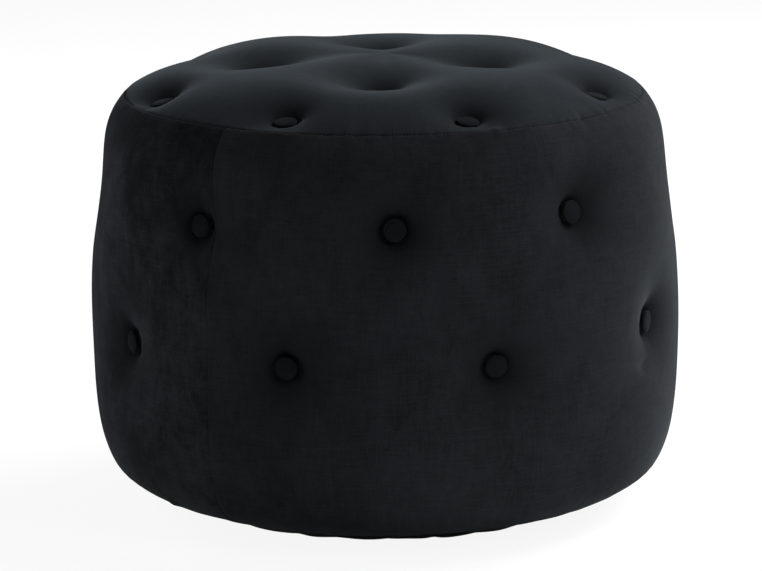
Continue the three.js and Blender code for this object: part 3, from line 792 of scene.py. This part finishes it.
# Side covers: two lengths of black velvet, joined by plain seams at the left of the front and opposite it.
# The upper edge is sewn to the top cover, and the lower edge is turned in under the base board.
def velvet(name, dark, pale, patchy, tint, shoulder_shade=0.0):
    """Short pile velvet: a dark ground, brushed patches, the weave's faint lines, painted shade darkening the dimples
    round the buttons, painted shade along the seam by a share, stitches that pucker the seam, a few specks of lint,
    and a sheen at grazing angles."""
    pile = Finish(name)
    cloth = pile.node("UVMap", "UV", {"uv_map": "cloth"})
    brushed = pile.noise(pile.place(13, 13, 11), detail=5, roughness=0.6, distortion=0.8)
    strokes = pile.noise(pile.place(75, 75, 50), detail=3, roughness=0.6, distortion=0.6)
    ribs = pile.noise(pile.node("Mapping", 0, {}, {"Vector": cloth, "Scale": (420, 30, 1)}), detail=2)
    picks = pile.noise(pile.node("Mapping", 0, {}, {"Vector": cloth, "Scale": (30, 420, 1)}), detail=2)
    grain = pile.noise(pile.place(560, 560, 560), detail=3, roughness=0.7)
    share = 0.5 + patchy * (brushed - 0.5) + 0.6 * patchy * (strokes - 0.5)
    share = share + 0.7 * (ribs - 0.5) + 0.8 * (picks - 0.5) + 1.6 * (grain - 0.5)
    # Painted shade: the ground is darkened towards each button, standing in for the shade in its dimple.
    dimple_shade = pile.node("Attribute", "Fac", {"attribute_name": "dimple_shade"})
    ground = pile.mix(share * (1 - dimple_shade), (*dark, 1), (*pale, 1))
    dust = pile.node("TexVoronoi", "Distance", {}, {"Vector": pile.place(16, 16, 16), "Scale": 1.0})
    specks = pile.maths("LESS_THAN", dust, lint_size)
    across, along = [pile.node("SeparateXYZ", axis, {}, {"Vector": cloth}) for axis in ("X", "Y")]
    off_seam = pile.maths("ABSOLUTE", along - seam_along)
    # Painted shade: by the shoulder share, the ground darkens towards the seam along the cover's upper edge.
    upper = pile.maths("MAXIMUM", 1 - off_seam * (1 / shoulder_shade_reach), 0.0)
    ground = pile.mix(dimple_shade_strength * dimple_shade + shoulder_shade * upper, ground, (0, 0, 0, 1))
    beside = pile.maths("MAXIMUM", 1 - off_seam * (1 / stitch_reach), 0.0)
    stitches = pile.maths("PINGPONG", across, stitch_length / 2) * (2 / stitch_length)
    return pile.surface(
        base_color=pile.mix(0.6 * specks, ground, (0.16, 0.16, 0.16, 1)),
        roughness=0.85 + 0.1 * grain,
        specular_ior_level=0.0,
        sheen_weight=1.0,
        sheen_roughness=0.35,
        sheen_tint=(*tint, 1),
        normal=pile.bump(grain + 0.7 * ribs + 0.7 * picks + 3 * beside * stitches, 0.00010),
    )


# Painted shade: how dark the painted dimple shade makes the velvet at a button's edge.
dimple_shade_strength = 0.22
lint_size = 0.012
# Painted shade: how far from the seam the painted shoulder shade reaches.
shoulder_shade_reach = 0.090
stitch_length = 0.0042
stitch_reach = 0.0045


velvet_front = velvet("velvet_front", (0.0088, 0.0094, 0.0106), (0.0178, 0.0194, 0.0216), 1.2, (0.038, 0.0435, 0.048))
# The back length carries painted shade along its upper edge by the seam.
velvet_back = velvet("velvet_back", (0.0078, 0.0085, 0.0094), (0.0184, 0.0206, 0.0228), 2.6, (0.039, 0.0455, 0.050), 0.45)

half_gap = fit / 8
seam_fine = 0.0016
edge_turn = half_gap / belly_radius
fine_turn = seam_fine / belly_radius
half_turn = math.pi - 2 * edge_turn
half_spans = [
    (2 * fine_turn, 4),
    (half_turn - 4 * fine_turn, skin_columns // 2),
    (2 * fine_turn, 4),
]
side_rows = graded(0, seam_along - half_gap, skin_spacing, fine_end=seam_fine)
for side, material, seam in (("front", velvet_front, side_seam), ("back", velvet_back, side_seam + math.pi)):
    band = swept(
        [on_skin(along, 0) for along in side_rows],
        half_spans,
        seam + edge_turn,
        rim=[on_skin(along, velvet_thickness) for along in side_rows],
    )
    cover = as_piece(f"velvet_side_{side}", band, [material], "velvet", f"side_cover_{side}")

# Top cover: one round of the same velvet, with its nap lying so that it looks a shade paler than the side.
# It is sewn to the side covers all round and drawn down by the top buttons.
velvet_top = velvet("velvet_top", (0.0098, 0.0112, 0.0126), (0.0168, 0.0194, 0.0220), 1.0, (0.036, 0.0430, 0.049))
top_rows = graded(seam_along + half_gap, full_along, skin_spacing, fine_start=seam_fine)
round_top = swept(
    [
        *[on_skin(along, velvet_thickness) for along in reversed(top_rows)],
        *[on_skin(along, 0) for along in top_rows],
    ],
    [(math.tau, skin_columns)],
)
top_cover = as_piece("velvet_top_round", round_top, [velvet_top], "velvet", "top_cover")

# Buttons: flat domed caps covered in the same velvet, each tied with doubled twine.
# Their velvet is a darker copy, painted shade for the pits they sit in.
# The twine runs through the foam to a flat washer behind the wall wrap or under the deck board.
button_gap = 0.0004
button_height = 0.0042
button_edge = 0.0018
button_steps = 48
dish_depth = 0.0005
dish_share = 0.76
twine_radius = 0.0011
washer_radius = 0.008
washer_thickness = 0.0015
wrap_sides = 48

# Painted shade: a darker copy of the velvet for the caps, which sit in shaded pits.
shaded_velvet_cap = velvet("shaded_velvet_button", (0.0050, 0.0055, 0.0062), (0.0090, 0.0098, 0.0110), 1.0, (0.030, 0.033, 0.037))
wax = Finish("waxed_twine")
strands = wax.noise(wax.place(1200, 1200, 1200), detail=2)
twine = wax.surface(
    base_color=wax.mix(strands, (0.012, 0.011, 0.010, 1), (0.035, 0.032, 0.030, 1)),
    roughness=0.6 + 0.3 * strands,
    normal=wax.bump(strands, 0.0003),
)


def cap_profile():
    """Half section of a covered cap, from the middle of its back round its rolled edge to its crest."""
    crest = button_gap + button_height
    edge = button_gap + button_edge
    dome = []
    for share in np.linspace(1, 0, 12)[1:]:
        rise = crest - (crest - edge - button_edge) * share ** 2.4
        ring = dish_depth * math.exp(-(((share * 0.9) - dish_share) / 0.05) ** 2)
        dome.append(((button_radius - button_edge * 0.35) * share, rise - ring))
    roll = arc((button_radius - button_edge, edge), button_edge, -80, 70, 7)
    return [(0, button_gap), *roll, *dome]


def aimed(place, way):
    """A matrix that stands a turned shape at a place, with its axis along a way."""
    return Matrix.Translation(place) @ Vector(way).to_track_quat("Z", "Y").to_matrix().to_4x4()


def joined(shapes):
    """One shape of several, each with its own material number."""
    whole = bmesh.new()
    for number, shape in enumerate(shapes):
        for face in shape.faces:
            face.material_index = number
        mesh = bpy.data.meshes.new("part")
        shape.to_mesh(mesh)
        shape.free()
        whole.from_mesh(mesh)
        bpy.data.meshes.remove(mesh)
    return whole


for button in side_buttons + top_buttons:
    seat = button.place - button.facing * (button.pull + button.tuck)
    if button.twine[2] > 0:
        length = seat[2] - deck_low.z + fit
    else:
        washer_face = (wrap_high.x - 0.003) * math.cos(math.pi / wrap_sides) - fit
        length = np.hypot(*seat[:2]) - math.sqrt(washer_face ** 2 - washer_radius ** 2)
    tie = aimed(seat, button.twine)
    cap = turned(cap_profile(), button_steps, aimed(seat, button.lean))
    cord = turned(
        [(0, -length), (twine_radius, -length), (twine_radius, button_edge), (0, button_edge)], 12, tie
    )
    foot = -length - washer_thickness
    washer = turned([(0, foot), (washer_radius, foot), (washer_radius, -length), (0, -length)], 32, tie)
    as_piece(
        f"covered_button_{button.name}",
        joined([cap, cord, washer]),
        [shaded_velvet_cap, twine, screw_zinc],
        "velvet",
        f"button_{button.name}",
    )

# Studio: a plain pale floor, large soft lights at the right and behind, weaker ones in front and at the left,
# and a white surround. The camera stands four metres off and looks a little down.
photo_width = 762
look_height = 0.2145
camera_distance = 4.0
camera_pitch = math.radians(12.29)
camera_roll = math.radians(0.45)
focal_pixels = 3898
axis_pixels_right = 4.5
sensor_width = 36
floor_size = 30
surround_strength = 0.06


def lamp(name, place, size, power, colour=(1, 1, 1)):
    """A square soft light that looks at the middle of the object."""
    light = bpy.data.lights.new(name, "AREA")
    light.shape = "SQUARE"
    light.size = size
    light.energy = power
    light.color = colour
    holder = bpy.data.objects.new(name, light)
    bpy.context.scene.collection.objects.link(holder)
    holder.location = place
    aim = Vector((0, 0, look_height)) - Vector(place)
    holder.rotation_euler = aim.to_track_quat("-Z", "Y").to_euler()


lamp("right_light", (1.8, 0.4, 2.4), 1.4, 93)
lamp("right_back_light", (2.0, 2.0, 1.6), 1.6, 150)
lamp("right_front_light", (2.2, -1.8, 1.8), 0.9, 30)
lamp("left_back_light", (-2.2, 2.0, 1.4), 1.6, 52)
lamp("left_light", (-2.9, 0, 0.8), 1.6, 34)

surround = bpy.data.worlds.new("surround")
surround.use_nodes = True
bpy.context.scene.world = surround
sky = surround.node_tree
sky.nodes.clear()
rays = sky.nodes.new("ShaderNodeLightPath")
seen = sky.nodes.new("ShaderNodeMath")
seen.operation = "MAXIMUM"
mirrored = sky.nodes.new("ShaderNodeMath")
mirrored.operation = "MAXIMUM"
sky.links.new(rays.outputs["Is Camera Ray"], seen.inputs[0])
sky.links.new(rays.outputs["Is Glossy Ray"], mirrored.inputs[0])
sky.links.new(rays.outputs["Is Transmission Ray"], mirrored.inputs[1])
sky.links.new(mirrored.outputs[0], seen.inputs[1])
glow = sky.nodes.new("ShaderNodeBackground")
glow.inputs["Strength"].default_value = surround_strength
white = sky.nodes.new("ShaderNodeBackground")
white.inputs["Color"].default_value = (1, 1, 1, 1)
choice = sky.nodes.new("ShaderNodeMixShader")
sky.links.new(seen.outputs[0], choice.inputs[0])
sky.links.new(glow.outputs[0], choice.inputs[1])
sky.links.new(white.outputs[0], choice.inputs[2])
glow.inputs["Color"].default_value = (1, 1, 1, 1)
sky.links.new(choice.outputs[0], sky.nodes.new("ShaderNodeOutputWorld").inputs["Surface"])

paper = Finish("paper_floor")
lit = paper.node("BsdfDiffuse", "BSDF", {}, {"Color": (0.9, 0.9, 0.9, 1)})
bright = paper.node("Emission", "Emission", {}, {"Color": (1, 1, 1, 1), "Strength": 1.0})
path = paper.node("LightPath", "Is Camera Ray")
shown = paper.node("MixShader", 0, {}, {0: path * 0.9, 1: lit, 2: bright})
paper.node("OutputMaterial", None, {}, {"Surface": shown})
sheet = bmesh.new()
bmesh.ops.create_grid(sheet, x_segments=1, y_segments=1, size=floor_size / 2)
floor_mesh = bpy.data.meshes.new("floor")
sheet.to_mesh(floor_mesh)
sheet.free()
floor_mesh.materials.append(paper.material)
floor = bpy.data.objects.new("floor", floor_mesh)
bpy.context.scene.collection.objects.link(floor)

lens = bpy.data.cameras.new("camera")
lens.sensor_width = sensor_width
lens.lens = sensor_width * focal_pixels / photo_width
lens.shift_x = -axis_pixels_right / photo_width
camera = bpy.data.objects.new("camera", lens)
bpy.context.scene.collection.objects.link(camera)
back = Vector((0, -math.cos(camera_pitch), math.sin(camera_pitch)))
camera.location = Vector((0, 0, look_height)) + back * camera_distance
facing = (-back).to_track_quat("-Z", "Y")
camera.rotation_euler = (facing.to_matrix() @ Matrix.Rotation(-camera_roll, 3, "Z")).to_euler()
bpy.context.scene.camera = camera
bpy.context.scene.view_settings.view_transform = "Standard"
